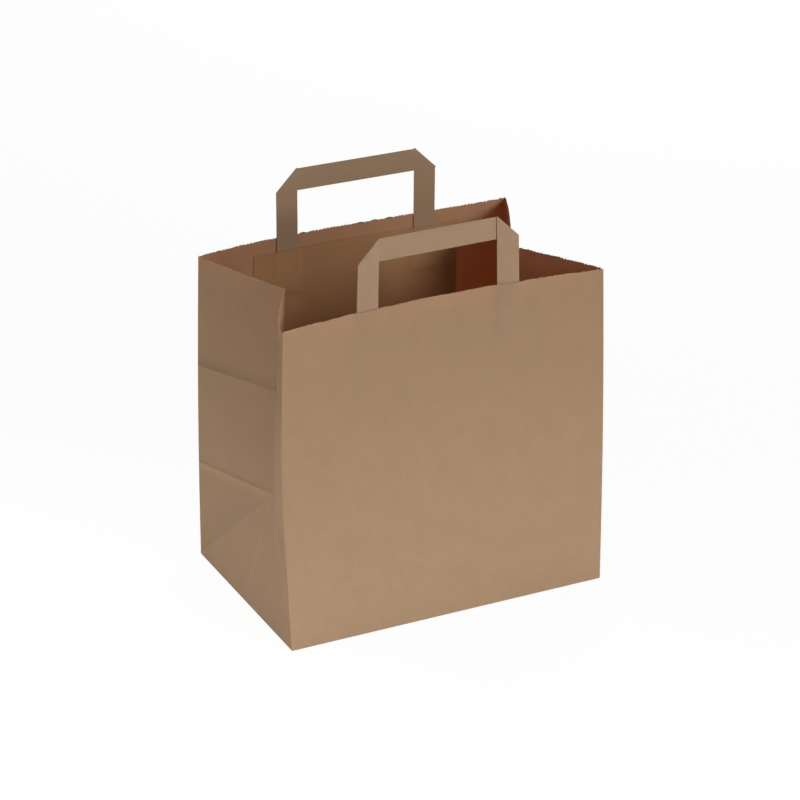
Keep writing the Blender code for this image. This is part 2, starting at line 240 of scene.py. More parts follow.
class Fold:
    """Where each point of the bag's flat sheet lies once it is folded."""

    def __init__(self, bag, handle):
        self.bag = bag
        self.half_width = bag.width / 2
        self.half_depth = bag.depth / 2
        self.leg_middle = (handle.span - handle.strip) / 2
        self.leg_half = handle.strip / 2
        self.leg_end = bag.height - handle.tuck
        self.lap_outer = self.half_width - bag.lap_edge
        self.lap_inner = self.lap_outer - bag.lap_width
        self.shift = {"front": handle.front_shift, "back": handle.back_shift}

    def from_leg(self, panel, x):
        """Distance across a wall from the middle of the nearer leg of its handle."""
        return abs(abs(x - self.shift[panel]) - self.leg_middle)

    def raised(self, foot_y, top_y, height):
        """The y and z of a point at a height along a wall whose rim stands at top_y."""
        shift = (top_y - foot_y) * height / self.bag.height
        return foot_y + shift, math.sqrt(max(height * height - shift * shift, 0.0))

    def calm(self, x, height):
        """1 where a wall may ripple, falling to 0 at its folds."""
        return grows(self.half_width - abs(x), 0, CORNER_CALM) * grows(height, 0, FOOT_CALM)

    def push(self, x, height):
        """How far the handles' stiff legs push the rim out."""
        near = max(0.0, 1 - (self.from_leg("front", x) / PUSH_REACH) ** 2)
        high = grows(height, self.bag.height - PUSH_DROP, PUSH_DROP)
        return self.bag.leg_push * near * near * high

    def front(self, x, height):
        """A point of the front wall's outer face."""
        bag = self.bag
        bow = bag.front_bow * (1 - (x / self.half_width) ** 2)
        foot = -self.half_depth
        y, z = self.raised(foot, foot + bag.front_lean + bow, height)
        y += bag.ripple * self.calm(x, height) * wander(x, height, FRONT_RIPPLE, 3.1)
        y -= self.push(x, height)
        return Vector((x, y, z))

    def back(self, x, height):
        """A point of the back wall's outer face, without its fold marks."""
        bag = self.bag
        across = x / self.half_width
        lean = between(bag.back_lean_left, bag.back_lean_right, (across + 1) / 2)
        bow = bag.back_bow * (1 - across * across) * (1 - 0.9 * across)
        y, z = self.raised(self.half_depth, self.half_depth - lean + bow, height)
        y += bag.ripple * self.calm(x, height) * wander(x, height, BACK_RIPPLE, 8.4)
        return Vector((x, y, z))

    def marked_back(self, x, height):
        """The back wall's outer face with its fold marks."""
        point = self.back(x, height)
        point.y -= self.mark(height, x) * min(1, (self.half_width - abs(x)) / FOLD_CALM)
        return point

    def corner(self, side, front, height):
        """A point of one of the four upright folds, bowed a little outwards."""
        wall = self.front if front else self.back
        point = wall(side * self.half_width, height)
        point.x += side * self.bow(side, front, height)
        return point

    def bow(self, side, front, height):
        """How far an upright fold bows outwards."""
        most = self.bag.soft_bow if front and side < 0 else self.bag.corner_bow
        return most * math.sin(math.pi * min(height / self.bag.height, 1))

    def centre(self, side, height):
        """A point of a gusset's centre fold, which is pushed in towards the bag's middle."""
        bag = self.bag
        foot = min(height, self.half_depth)
        inset = foot * math.sin(bag.foot_tilt)
        z = foot * math.cos(bag.foot_tilt)
        run = bag.height - self.half_depth
        share = (height - foot) / run
        travel = bag.crease_inset - self.half_depth * math.sin(bag.foot_tilt)
        inset += travel * share + bag.crease_bend * early_swell(share)
        z += share * math.sqrt(run * run - travel * travel)
        return Vector((side * (self.half_width - inset), 0, z))

    def mark(self, height, x=0.0, reach=0.0):
        """Depth of the marks that the flat-folded base presses into the back of the bag."""
        depth = 0.0
        rise = self.bag.mark_rise * (reach / self.half_depth - MARK_LEVEL)
        for level, above, below in ((self.half_depth, 0.6, 1.3), (self.bag.imprint, 1.4, 0.5)):
            away = height - level - rise - 0.5 * MM * wander(x, height, 30 * MM, 5.5 + level)
            half = self.bag.mark_reach * (above if away > 0 else below)
            depth += self.bag.mark_depth * max(0.0, 1 - abs(away) / half) ** 1.35
        return depth

    def gusset(self, side, along, height):
        """A point of a gusset's outer face, along it from the front corner to the back corner."""
        front = along <= self.half_depth
        reach = along if front else self.bag.depth - along
        share = reach / self.half_depth
        if height <= reach:
            inset = height * math.sin(self.bag.foot_tilt)
            point = Vector((side * (self.half_width - inset), along - self.half_depth, 0))
            point.z = height * math.cos(self.bag.foot_tilt)
        elif height <= self.half_depth:
            apex = self.centre(side, self.half_depth) - self.corner(side, front, 0)
            point = self.corner(side, front, height - reach) + apex * share
        else:
            point = self.corner(side, front, height).lerp(self.centre(side, height), share)
        rise = grows(height, self.half_depth, self.bag.height - self.half_depth)
        swell = rise * early_swell(share)
        if front and side < 0:
            rim = grows(self.bag.height - height, 0, RIM_CALM)
            swell = between(self.bag.soft_bulge * swell, self.soft_strip(reach, height), rim)
            point.x -= swell
            point.y -= STRIP_TURN * rim * swell * (1 - grows(reach, 8 * MM, 12 * MM))
        else:
            point.x += side * self.bag.bulge * swell
        if not front:
            point.x -= side * self.mark(height, along, reach) * min(1, share * 4)
        free = grows(reach, 0, FOLD_CALM) * grows(self.half_depth - reach, 0, FOLD_CALM)
        free *= grows(height, 20 * MM, 60 * MM)
        ripple = 1.2 * self.bag.ripple * wander(along, height, GUSSET_RIPPLE, 2.2 + side)
        point.x += side * free * ripple
        return point

    def soft_strip(self, reach, height):
        """Swell of the front left gusset, whose edge is a narrow strip that faces the corner."""
        edge = self.bag.strip_edge
        share = reach / edge
        if reach >= edge:
            share = (self.half_depth - reach) / (self.half_depth - edge)
        grown = grows(height, 25 * MM, 100 * MM)
        grown *= between(1, 0.6, grows(height, 150 * MM, 90 * MM))
        return self.bag.strip_swell * share * grown * grows(height, reach, 30 * MM)

    def rounding(self, side, front, height):
        """How far the paper rounds an upright fold instead of creasing."""
        if side > 0 or not front:
            return 0.0
        low = grows(height, 25 * MM, 60 * MM)
        high = 1 - grows(height, 150 * MM, 60 * MM)
        return self.bag.fold_radius * low * high

    def wall_sheet(self, panel, x, height):
        """A point of the front or back wall's outer face with the seam, marks and leg prints."""
        if panel == "front":
            point = self.front(x, height)
            side = math.copysign(1, x)
            near = grows(abs(x), self.half_width - CORNER_CALM, CORNER_CALM)
            point.x += side * near * self.bow(side, True, height)
            point.y -= self.bag.leg_print * self.over_leg(panel, x, height)
            if x > self.lap_outer - LAP_STEP / 2:
                point.y += self.bag.paper * min(1, height / FOLD_CALM)
            return point
        point = self.marked_back(x, height)
        point.y += self.bag.leg_print * self.over_leg(panel, x, height)
        return point

    def over_leg(self, panel, x, height):
        """1 where a handle's leg presses through the wall from inside, 0 away from it."""
        soft = 1 * MM
        side = 1 - grows(self.from_leg(panel, x), self.leg_half - soft, 2 * soft)
        return side * grows(height, self.leg_end - soft, 2 * soft)

    def sheet(self, panel, along, height):
        """Where a point of the bag's sheet lies."""
        if panel in ("front", "back"):
            side, front = math.copysign(1, along), panel == "front"
            away = abs(along) - self.half_width
            if -away < max(self.rounding(side, front, height), SAME_PLACE):
                return self.rounded(side, front, away, height)
            return self.wall_sheet(panel, along, height)
        side = 1 if panel == "right" else -1
        front = along <= self.half_depth
        reach = along if front else self.bag.depth - along
        if reach < self.rounding(side, front, height):
            return self.rounded(side, front, reach, height)
        return self.gusset(side, along, height)

    def rounded(self, side, front, away, height):
        """A point near an upright fold, away from it into the gusset or, below 0, into the wall."""
        sharp = self.corner(side, front, height)
        radius = self.rounding(side, front, height)
        if radius < LEAST_RADIUS:
            return sharp
        panel = "front" if front else "back"
        wall = self.wall_sheet(panel, side * (self.half_width - radius), height)
        along = radius if front else self.bag.depth - radius
        gusset = self.gusset(side, along, height)
        share = (away + radius) / (2 * radius)
        first = wall.lerp(sharp, share)
        return first.lerp(sharp.lerp(gusset, share), share)


def half_steps(fold):
    """Distances shared by the foot's rows and a half gusset's columns, so folds meet at points."""
    low = [0, 0.8 * MM, 1.8 * MM, 3.2 * MM, 5 * MM]
    top = fold.half_depth
    high = [top - 4 * MM, top - 2.2 * MM, top - 1 * MM, top]
    return low[:-1] + evenly(low[-1], high[0], 28) + high[1:]


def sheet_rows(fold):
    """Heights of the sheet's rows, closer together at the level folds and the rim."""
    middle, mark, top = fold.half_depth, fold.bag.imprint, fold.bag.height
    rows = half_steps(fold)
    rows += [middle + step * MM for step in (1, 2.2, 3, 4, 5.2)]
    rows += evenly(middle + 7 * MM, mark - 7 * MM, 22)
    rows += [mark + step * MM for step in (-5.2, -4, -3, -2, -1, 0, 1, 2, 3, 4, 5.2)]
    rows += evenly(mark + 7 * MM, top - 3 * MM, 20)
    rows += [top - 1.2 * MM, top]
    return rows


def wall_columns(fold, panel):
    """Places across a wall, with more at its handle's legs and the corners."""
    shift = fold.shift[panel]
    inner, outer = fold.leg_middle - fold.leg_half, fold.leg_middle + fold.leg_half
    half = evenly(4 * MM, 44 * MM, 10) + [inner - 1 * MM, inner, inner + 1 * MM]
    half += [52 * MM, 56 * MM, 60 * MM, outer - 1 * MM, outer, outer + 1 * MM]
    half += evenly(70 * MM, 102 * MM, 8)
    edge = [fold.half_width - step * MM for step in (20.5, 16.5, 12.5, 8.5, 6.4, 3.2, 1.8, 0.8, 0)]
    middle = [shift - x for x in reversed(half)] + [shift] + [shift + x for x in half]
    return [-x for x in reversed(edge)] + middle + edge


def walk_columns(fold):
    """The walk round the bag: front wall, right gusset, back wall, left gusset."""
    bag = fold.bag
    steps = half_steps(fold)
    round_gusset = steps + [bag.depth - step for step in reversed(steps[:-1])]
    inner, outer = fold.lap_inner, fold.lap_outer
    lap = [inner - LAP_STEP, inner, outer - LAP_STEP, outer]
    start = fold.half_width
    walk = [("front", x, x + start) for x in sorted(wall_columns(fold, "front") + lap)]
    start = bag.width
    walk += [("right", along, start + along) for along in round_gusset[1:]]
    start += bag.depth + fold.half_width
    walk += [("back", x, start - x) for x in reversed(wall_columns(fold, "back")[:-1])]
    start += fold.half_width
    walk += [("left", along, start + bag.depth - along) for along in reversed(round_gusset[:-1])]
    return walk


def paper_grid(columns, rows, place, flat):
    """A grid of paper whose points place() puts in space and flat() on the sheet's own map."""
    grid = bmesh.new()
    sheet_map = grid.loops.layers.uv.new("sheet")
    for name in ("reach", "marks"):
        grid.verts.layers.float.new(name)
    grid.verts.layers.deform.verify()
    across, up = len(columns) - 1, len(rows) - 1
    bmesh.ops.create_grid(grid, x_segments=across, y_segments=up, size=1)
    points, where = {}, {}
    for vertex in grid.verts:
        column = round((vertex.co.x + 1) / 2 * across)
        row = round((vertex.co.y + 1) / 2 * up)
        points[column, row] = vertex
        where[vertex] = (column, row)
    for face in grid.faces:
        for loop in face.loops:
            column, row = where[loop.vert]
            loop[sheet_map].uv = flat(columns[column], rows[row])
    for (column, row), vertex in points.items():
        vertex.co = place(columns[column], rows[row])
    return grid, points


def saw_cut(grid, chosen, pitch, depth, seed):
    """Cuts small uneven teeth into a sheet's open edges that chosen() picks."""
    sheet_map = grid.loops.layers.uv.active

    def open_edges():
        return [edge for edge in grid.edges if edge.is_boundary and chosen(edge)]

    def halves(edge):
        """How many half teeth an edge has room for."""
        return round(edge.calc_length() / (pitch / 2))

    for cuts in range(8, 0, -1):
        wanted = [edge for edge in open_edges() if halves(edge) - 1 == cuts]
        if wanted:
            bmesh.ops.subdivide_edges(grid, edges=wanted, cuts=cuts)
    cut = {vertex for edge in open_edges() for vertex in edge.verts}
    if not cut:
        raise RuntimeError("the sheet has no edge to cut")
    for vertex in cut:
        along = vertex.link_loops[0][sheet_map].uv.x
        drift = 0.12 * wander(along, 0, 9 * MM, seed)
        wave = abs((along / pitch + drift) % 1 * 2 - 1)
        uneven = 1 + 0.9 * wander(along, 0, 5 * MM, seed + 1)
        slow = 0.35 * MM * wander(along, 0, 26 * MM, seed + 2)
        vertex.co.z += slow - depth * wave * uneven


def finish_piece(piece, thickness, offset, group="", crease=28):
    """Thickens a sheet into a closed piece, smooth but where it turns by more than the crease."""
    solid = piece.modifiers.new("ply", "SOLIDIFY")
    solid.thickness = thickness
    solid.offset = offset
    solid.use_even_offset = True
    solid.use_quality_normals = True
    solid.vertex_group = group
    bpy.context.view_layer.update()
    depsgraph = bpy.context.evaluated_depsgraph_get()
    finished = bpy.data.meshes.new_from_object(
        piece.evaluated_get(depsgraph), preserve_all_data_layers=True, depsgraph=depsgraph
    )
    piece.modifiers.clear()
    piece.data = finished
    finished.name = piece.name
    finished.polygons.foreach_set("use_smooth", [True] * len(finished.polygons))
    finished.set_sharp_from_angle(angle=math.radians(crease))


def put_in_scene(name, data):
    """A new object in the scene."""
    made = bpy.data.objects.new(name, data)
    bpy.context.scene.collection.objects.link(made)
    return made


def sheet_object(name, grid, material):
    """An object made from a grid, in one material."""
    data = bpy.data.meshes.new(name)
    grid.to_mesh(data)
    grid.free()
    data.materials.append(material)
    return put_in_scene(name, data)


def add_piece(name, grid, material, node):
    """Puts a piece into the scene, on the bag's one body."""
    piece = sheet_object(name, grid, material)
    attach(piece, "root")
    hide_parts(node)
    return piece


def add_node(tree, kind, values=None, **settings):
    """A node with its settings and the plain values of its inputs."""
    made = tree.nodes.new(kind)
    for name, value in settings.items():
        setattr(made, name, value)
    for socket, value in (values or {}).items():
        made.inputs[socket].default_value = value
    return made


def feed(tree, target, source):
    """Links a socket into an input, or sets the input to a plain value."""
    if isinstance(source, bpy.types.NodeSocket):
        tree.links.new(source, target)
    else:
        target.default_value = source


def maths(tree, operation, *values, clamp=False):
    """A Math node on sockets or numbers."""
    made = add_node(tree, "ShaderNodeMath", operation=operation, use_clamp=clamp)
    for place, value in enumerate(values):
        feed(tree, made.inputs[place], value)
    return made.outputs[0]


def chained(tree, operation, *values):
    """Math nodes that take in one socket or number after another."""
    made = values[0]
    for value in values[1:]:
        made = maths(tree, operation, made, value)
    return made


def times(tree, *values):
    """The product of sockets or numbers."""
    return chained(tree, "MULTIPLY", *values)


def total(tree, *values):
    """The sum of sockets or numbers."""
    return chained(tree, "ADD", *values)


def largest(tree, *values):
    """The largest of some sockets or numbers."""
    return chained(tree, "MAXIMUM", *values)


def spread(tree, value, low, high, to_low, to_high):
    """A value mapped softly from one range to another."""
    made = add_node(tree, "ShaderNodeMapRange", interpolation_type="SMOOTHSTEP")
    for place, source in enumerate((value, low, high, to_low, to_high)):
        feed(tree, made.inputs[place], source)
    return made.outputs[0]


def blended(tree, share, first, second):
    """A mix of two colours."""
    made = add_node(tree, "ShaderNodeMix", data_type="RGBA")
    feed(tree, made.inputs[0], share)
    feed(tree, made.inputs[6], first)
    feed(tree, made.inputs[7], second)
    return made.outputs[2]


def mixed(tree, share, first, second):
    """A mix of two shaders."""
    made = add_node(tree, "ShaderNodeMixShader")
    for place, source in enumerate((share, first, second)):
        feed(tree, made.inputs[place], source)
    return made.outputs[0]


def stretched(tree, vector, x, y, z=1.0):
    """A vector scaled on each axis."""
    made = add_node(tree, "ShaderNodeVectorMath", operation="MULTIPLY")
    tree.links.new(vector, made.inputs[0])
    made.inputs[1].default_value = (x, y, z)
    return made.outputs[0]


def noise_at(tree, vector, scale, detail, roughness=0.5, distortion=0.0):
    """A noise value from 0 to 1."""
    made = add_node(
        tree,
        "ShaderNodeTexNoise",
        {"Scale": scale, "Detail": detail, "Roughness": roughness, "Distortion": distortion},
    )
    tree.links.new(vector, made.inputs["Vector"])
    return made.outputs[0]


def new_group(name, inputs, outputs):
    """A shader node group with its sockets, and its input and output nodes."""
    tree = bpy.data.node_groups.new(name, "ShaderNodeTree")
    for label, kind, value in inputs:
        kind = "NodeSocket" + kind
        socket = tree.interface.new_socket(name=label, in_out="INPUT", socket_type=kind)
        if value is not None:
            socket.default_value = value
    for label, kind in outputs.items():
        kind = "NodeSocket" + kind
        tree.interface.new_socket(name=label, in_out="OUTPUT", socket_type=kind)
    return tree, tree.nodes.new("NodeGroupInput").outputs, tree.nodes.new("NodeGroupOutput").inputs


def height_on(tree, sheet):
    """The height along a sheet's own map."""
    parts = add_node(tree, "ShaderNodeSeparateXYZ")
    tree.links.new(sheet, parts.inputs[0])
    return parts.outputs["Y"]


def kraft_fibres():
    """Kraft paper's clouds, fibres, fine ribs and flecks, on a sheet's own map in metres."""
    found = bpy.data.node_groups.get("kraft_fibres")
    if found:
        return found
    tree, given, result = new_group(
        "kraft_fibres",
        [
            ("Sheet", "Vector", None),
            ("Pale", "Color", None),
            ("Deep", "Color", None),
            ("Clouds", "Float", 0.5),
            ("Fibres", "Float", 0.5),
            ("Ribs", "Float", 0.2),
            ("Flecks", "Float", 0.5),
            ("PaintedGradient", "Float", 0.0),
        ],
        {"Colour": "Color", "Formation": "Float", "Roughness": "Float", "Height": "Float"},
    )
    sheet = stretched(tree, given["Sheet"], 1000, 1000, 1000)
    cloud = noise_at(tree, sheet, 0.05, 4, 0.6, 0.4)
    small = noise_at(tree, sheet, 0.45, 4, 0.6)
    fibre = noise_at(tree, stretched(tree, sheet, 1.9, 0.7), 1.1, 5, 0.72, 0.7)
    grain = noise_at(tree, stretched(tree, sheet, 0.8, 1.6), 2.6, 3, 0.6, 0.4)
    bands = add_node(
        tree,
        "ShaderNodeTexWave",
        {"Scale": 0.235, "Distortion": 1.6, "Detail": 2.0, "Detail Scale": 0.8},
        wave_type="BANDS",
        bands_direction="X",
    )
    tree.links.new(stretched(tree, sheet, 1, 0.08), bands.inputs["Vector"])
    ribs = bands.outputs["Fac"]
    dark = noise_at(tree, stretched(tree, sheet, 1, 1.3), 0.62, 1.5)
    dark = spread(tree, dark, 0.735, 0.775, 0.0, 1.0)
    bright = noise_at(tree, stretched(tree, sheet, 2.6, 0.55), 0.55, 2.5, 0.6, 1.2)
    bright = spread(tree, bright, 0.70, 0.78, 0.0, 1.0)

    def around(value, strength):
        return times(tree, maths(tree, "SUBTRACT", value, 0.5), strength)

    share = total(
        tree,
        around(cloud, given["Clouds"]),
        # A painted light gradient can shift the colour towards the pale or the deep fibres
        total(tree, given["PaintedGradient"], 0.5),
        around(small, times(tree, given["Clouds"], 0.8)),
        around(fibre, given["Fibres"]),
        around(grain, times(tree, given["Fibres"], 0.6)),
    )
    share = maths(tree, "ADD", share, around(ribs, given["Ribs"]), clamp=True)
    shade = blended(tree, share, given["Deep"], given["Pale"])
    shade = blended(tree, times(tree, bright, given["Flecks"], 0.35), shade, PALE_FLECK)
    shade = blended(tree, times(tree, dark, given["Flecks"], 0.6), shade, DARK_FLECK)
    tree.links.new(shade, result["Colour"])
    formation = total(tree, times(tree, cloud, 0.55), times(tree, small, 0.45))
    tree.links.new(formation, result["Formation"])
    tree.links.new(total(tree, 0.76, times(tree, fibre, 0.16)), result["Roughness"])
    reliefs = ((fibre, 0.035), (grain, 0.012), (ribs, 0.008), (small, 0.05))
    height = total(tree, *(times(tree, relief, depth) for relief, depth in reliefs))
    tree.links.new(height, result["Height"])
    return tree


def fold_wear_and_shade(bag):
    """Where the bag's folds leave the paper pale, and where shade and a highlight are painted beside
    its level folds, from its fold attributes.
    """
    half_depth, imprint, rim = bag.depth / 2, bag.imprint, bag.height
    tree, given, result = new_group(
        "fold_wear_and_shade",
        [
            ("Sheet", "Vector", None),
            ("Reach", "Float", 0.0),
            ("Marks", "Float", 0.0),
            ("Width", "Float", 0.7),
        ],
        {"RubbedAndHighlight": "Float", "PaintedShade": "Float"},
    )
    height = height_on(tree, given["Sheet"])
    width = times(tree, given["Width"], MM)

    def line(value, target, strength):
        away = maths(tree, "ABSOLUTE", maths(tree, "SUBTRACT", value, target))
        return times(tree, spread(tree, away, 0.0, width, 1.0, 0.0), strength)

    sunk = maths(tree, "DIVIDE", given["Reach"], half_depth, clamp=True)
    risen = times(tree, maths(tree, "SUBTRACT", sunk, MARK_LEVEL), bag.mark_rise)
    marked = maths(tree, "SUBTRACT", height, risen)
    inside = spread(tree, given["Reach"], 0.0, 1 * MM, 0.0, 1.0)
    below = spread(tree, height, half_depth, half_depth + 1 * MM, 1.0, 0.0)
    mask = largest(
        tree,
        line(given["Reach"], 0.0, 1.0),
        line(given["Reach"], half_depth, 1.0),
        line(height, given["Reach"], times(tree, inside, below)),
        times(tree, line(marked, half_depth, 1.0), given["Marks"]),
        times(tree, line(marked, imprint, 0.5), given["Marks"]),
    )
    sheet = stretched(tree, given["Sheet"], 1000, 1000, 1000)
    broken = spread(tree, noise_at(tree, sheet, 0.35, 4, 0.7), 0.36, 0.62, 0.15, 1.0)

    def beside(level, reach, strength):
        """Fades over a reach above a level fold, or below it where the reach is negative."""
        fade = spread(tree, marked, level, level + reach, strength, 0.0)
        start = math.copysign(0.4 * MM, reach)
        started = spread(tree, marked, level - start, level + start, 0.0, 1.0)
        return times(tree, fade, started, given["Marks"])

    # The fold lines and the cut rim are pale from use; a painted highlight lightens the 9 mm below the
    # centre fold, where the paper turns towards the light
    rubbed_and_highlight = largest(
        tree,
        times(tree, mask, broken),
        beside(half_depth, -9 * MM, 0.45),
        spread(tree, height, rim - 1.2 * MM, rim, 0.0, 0.7),
    )
    tree.links.new(rubbed_and_highlight, result["RubbedAndHighlight"])
    # Painted shade: deeper colour for 13 mm above the imprint and 6 mm above the centre fold, where
    # the paper turns away from the light
    painted_shade = largest(tree, beside(imprint, 13 * MM, 1.0), beside(half_depth, 6 * MM, 0.6))
    weaker = maths(tree, "SUBTRACT", 1.0, times(tree, sunk, 0.5))
    tree.links.new(times(tree, painted_shade, weaker), result["PaintedShade"])
    return tree


def use_group(tree, group, values):
    """A node group placed in a material with its own values."""
    made = add_node(tree, "ShaderNodeGroup", node_tree=group)
    for socket, value in values.items():
        feed(tree, made.inputs[socket], value)
    return made.outputs


def attribute(tree, name):
    """A float attribute of the mesh."""
    return add_node(tree, "ShaderNodeAttribute", attribute_name=name).outputs["Fac"]


def new_material(name):
    """A material, with its node tree and its plain shader."""
    made = bpy.data.materials.new(name)
    made.use_nodes = True
    return made, made.node_tree, made.node_tree.nodes["Principled BSDF"]


def kraft_material(name, pale, deep, strengths, glow=None, glow_share=0.0, bag=None):
    """An uncoated kraft paper, with the light that one ply lets through; on the bag, pale fold lines,
    painted shade and a painted highlight beside the level folds, and a painted light gradient.
    """
    made, tree, shader = new_material(name)
    sheet = add_node(tree, "ShaderNodeUVMap", uv_map="sheet").outputs[0]
    values = {"Sheet": sheet, "Pale": (*pale, 1), "Deep": (*deep, 1), **strengths}
    if bag:
        # Painted light gradient: the bag's sheet is lighter towards the foot and deeper in colour
        # towards the rim
        values["PaintedGradient"] = spread(tree, height_on(tree, sheet), 0.0, bag.height, 0.3, -0.3)
    paper = use_group(tree, kraft_fibres(), values)
    shade, height = paper["Colour"], paper["Height"]
    if bag:
        fold_values = {"Sheet": sheet, "Reach": attribute(tree, "reach"), "Marks": attribute(tree, "marks")}
        wear_and_shade = use_group(tree, fold_wear_and_shade(bag), fold_values)
        rubbed_and_highlight_colour = (*(min(channel * 1.28, 1) for channel in pale), 1)
        painted_shade_colour = (*(channel * 0.6 for channel in deep), 1)
        # Pale fold lines and rim from use, with a painted highlight below the centre fold
        shade = blended(tree, times(tree, wear_and_shade["RubbedAndHighlight"], 0.7), shade, rubbed_and_highlight_colour)
        # Painted shade above the imprint and the centre fold
        shade = blended(tree, times(tree, wear_and_shade["PaintedShade"], 0.55), shade, painted_shade_colour)
        height = total(tree, height, times(tree, wear_and_shade["RubbedAndHighlight"], 0.02))
    tree.links.new(shade, shader.inputs["Base Color"])
    tree.links.new(paper["Roughness"], shader.inputs["Roughness"])
    shader.inputs["Specular IOR Level"].default_value = 0.16
    bump = add_node(tree, "ShaderNodeBump", {"Strength": 0.7, "Distance": MM})
    tree.links.new(height, bump.inputs["Height"])
    tree.links.new(bump.outputs[0], shader.inputs["Normal"])
    if glow:
        cloudy = spread(tree, paper["Formation"], 0.36, 0.64, 0.0, 1.0)
        thicker = (*(channel * 0.85 for channel in glow), 1)
        thin = add_node(tree, "ShaderNodeBsdfTranslucent")
        tree.links.new(blended(tree, cloudy, thicker, (*glow, 1)), thin.inputs["Color"])
        both = mixed(tree, glow_share, shader.outputs[0], thin.outputs[0])
        tree.links.new(both, tree.nodes["Material Output"].inputs["Surface"])
    return made


def bag_paper(context):
    """The bag's own paper, made once."""
    found = bpy.data.materials.get("kraft_sheet")
    if found:
        return found
    tones = context.scene.paper_colours
    strengths = {"Clouds": 0.16, "Fibres": 0.4, "Ribs": 0.12, "Flecks": 0.5}
    bag = context.scene.bag_sizes
    return kraft_material("kraft_sheet", tones.pale, tones.deep, strengths, tones.glow, 0.2, bag)


class FoldWalls(bpy.types.Operator):
    """Fold the bag's front, back and gussets from one sheet, with a saw-cut rim."""

    bl_idname = "paper_bag.fold_walls"
    bl_label = "Fold Walls"

    def execute(self, context):
        bag = context.scene.bag_sizes
        fold = Fold(bag, context.scene.handle_sizes)
        columns, rows = walk_columns(fold), sheet_rows(fold)
        lifted = Vector((0, 0, bag.paper / 2))
        grid, points = paper_grid(
            columns,
            rows,
            lambda column, height: fold.sheet(column[0], column[1], height) + lifted,
            lambda column, height: (column[2], height),
        )
        self.keep_folds(grid, points, columns, fold)
        self.crease_diagonals(points, columns, rows, fold)
        bmesh.ops.remove_doubles(grid, verts=grid.verts, dist=0.001 * MM)
        saw_cut(grid, lambda edge: edge.verts[0].co.z > bag.height / 2, RIM_PITCH, bag.tooth, 4.2)
        piece = add_piece("bag_walls", grid, bag_paper(context), "bag_body")
        piece.vertex_groups.new(name="plies")
        finish_piece(piece, 2 * bag.paper, -1, "plies")
        return {"FINISHED"}

    def keep_folds(self, grid, points, columns, fold):
        """Keeps how far each point is from its upright fold, and where marks and plies are."""
        reach_layer = grid.verts.layers.float["reach"]
        marks_layer = grid.verts.layers.float["marks"]
        plies = grid.verts.layers.deform.verify()
        bag = fold.bag
        lap_start, lap_end = fold.lap_inner - LAP_STEP / 2, fold.lap_outer - LAP_STEP / 2
        for (number, _), vertex in points.items():
            panel, along, _ = columns[number]
            if panel in ("front", "back"):
                vertex[reach_layer] = abs(along) - fold.half_width
            else:
                vertex[reach_layer] = min(along, bag.depth - along)
            behind = panel == "back" or (panel != "front" and along >= fold.half_depth)
            vertex[marks_layer] = 1.0 if behind else 0.0
            doubled = panel == "front" and lap_start < along < lap_end
            vertex[plies][0] = 1.0 if doubled else 0.5

    def crease_diagonals(self, points, columns, rows, fold):
        """Splits the cells that the gussets' diagonal folds cross, along the folds."""
        row_of = {round(value / MM, 4): number for number, value in enumerate(rows)}
        creases = []
        for number, (panel, along, _) in enumerate(columns):
            if panel in ("front", "back") and abs(along) < fold.half_width - SAME_PLACE:
                continue
            reach = 0.0
            if panel in ("left", "right"):
                reach = min(along, fold.bag.depth - along)
            creases.append((number, row_of[round(reach / MM, 4)]))
        for (left, low), (right, high) in zip(creases, creases[1:]):
            if right != left + 1 or low == high:
                continue
            first, second = points[left, low], points[right, high]
            shared = [face for face in first.link_faces if second in face.verts]
            bmesh.utils.face_split(shared[0], first, second)


class PasteBottom(bpy.types.Operator):
    """Paste the block bottom: two end flaps, and two long flaps that lap over them."""

    bl_idname = "paper_bag.paste_bottom"
    bl_label = "Paste Bottom"

    def execute(self, context):
        bag = context.scene.bag_sizes
        half_width, half_depth = bag.width / 2, bag.depth / 2
        ply, reach = bag.paper, bag.flap_reach
        lap = reach - half_depth
        paper = bag_paper(context)

        def long_flap(name, side):
            def place(across, away):
                x = across * (half_width - FLAP_ROOM - away)
                y = side * (half_depth - FLAP_ROOM - away)
                over = grows(away, half_depth - lap - 2 * MM, 2 * MM) if side > 0 else 0
                slack = FLAP_ROOM / 2 * (1 + wander(x, y, 40 * MM, 7 + side))
                return Vector((x, y, ply / 2 + ply * over + slack * grows(away, 0, 10 * MM)))

            self.flap(name, place, evenly(-1, 1, 60), reach, ply, paper)

        def end_flap(name, side):
            def place(across, away):
                x = side * (half_width - FLAP_ROOM - away)
                y = across * (half_depth - 0.3 * MM)
                uncovered = abs(x) + half_depth - abs(y) - half_width
                low = grows(uncovered, 0, 4 * MM)
                return Vector((x, y, between(2.5 * ply + 0.12 * MM, ply / 2, low)))

            self.flap(name, place, evenly(-1, 1, 40), reach, ply, paper)

        long_flap("bottom_flap_front", -1)
        long_flap("bottom_flap_back", 1)
        end_flap("bottom_end_left", -1)
        end_flap("bottom_end_right", 1)
        return {"FINISHED"}

    def flap(self, name, place, columns, reach, ply, paper):
        """One flap of the bottom, drawn on the paper's map clear of the walls."""
        grid, points = paper_grid(
            columns,
            evenly(0, reach, 36),
            place,
            lambda column, away: (1.2 + 0.13 * column, away - 0.4),
        )
        layer = grid.verts.layers.float["reach"]
        for vertex in points.values():
            vertex[layer] = FAR_FROM_FOLDS
        bmesh.ops.recalc_face_normals(grid, faces=grid.faces)
        piece = add_piece(name, grid, paper, "bag_body")
        finish_piece(piece, ply, 0)


